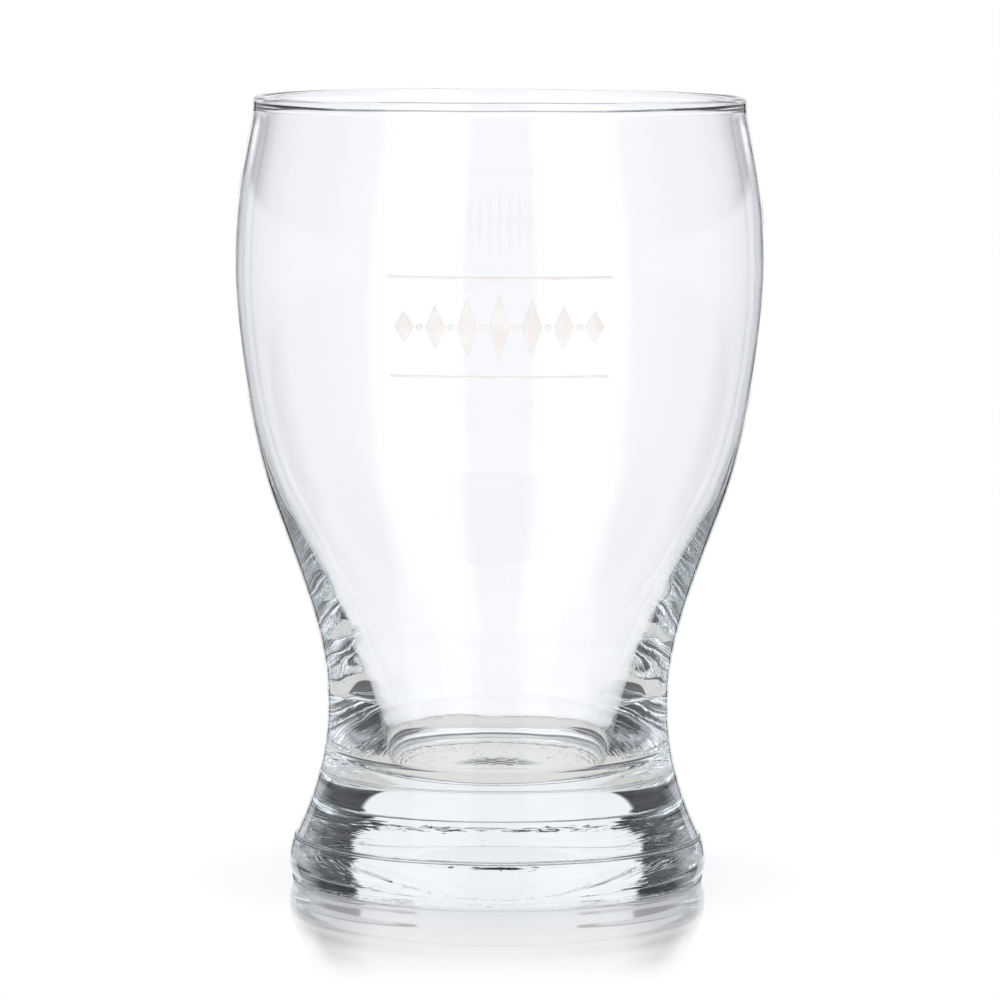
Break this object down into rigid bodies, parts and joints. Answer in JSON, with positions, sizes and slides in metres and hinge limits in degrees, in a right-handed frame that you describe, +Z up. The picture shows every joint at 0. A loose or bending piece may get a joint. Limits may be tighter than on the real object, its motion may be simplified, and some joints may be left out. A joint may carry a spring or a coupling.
{
  "type": "bellied juice tumbler",
  "caption": "Clear glass tumbler with a bellied bowl, a drawn-in waist and a heavy solid foot, printed on the front with a small cream enamel frieze.",
  "frame": {"origin": "centre of the resting ring under the foot, on the plane the glass stands on", "axes": "+Z up along the axis of the glass; the printed front faces -Y; +X is to the right seen from the front"},
  "size_m": [0.0742, 0.0746, 0.11],
  "materials": {
    "clear_glass": "fire-polished clear soda-lime glass with a faint cool grey body colour",
    "cream_enamel": "fired screen-printed enamel, cream, satin"
  },
  "bodies": {
    "root": {"glass_body": "clear_glass", "print_rule_upper": "cream_enamel", "print_rule_lower": "cream_enamel", "print_lozenge_1": "cream_enamel", "print_lozenge_2": "cream_enamel", "print_lozenge_3": "cream_enamel", "print_lozenge_4": "cream_enamel", "print_lozenge_5": "cream_enamel", "print_lozenge_6": "cream_enamel", "print_lozenge_7": "cream_enamel", "print_dot_1": "cream_enamel", "print_dot_2": "cream_enamel", "print_dot_3": "cream_enamel", "print_dot_4": "cream_enamel", "print_dot_5": "cream_enamel", "print_dot_6": "cream_enamel"}
  },
  "joints": []
}
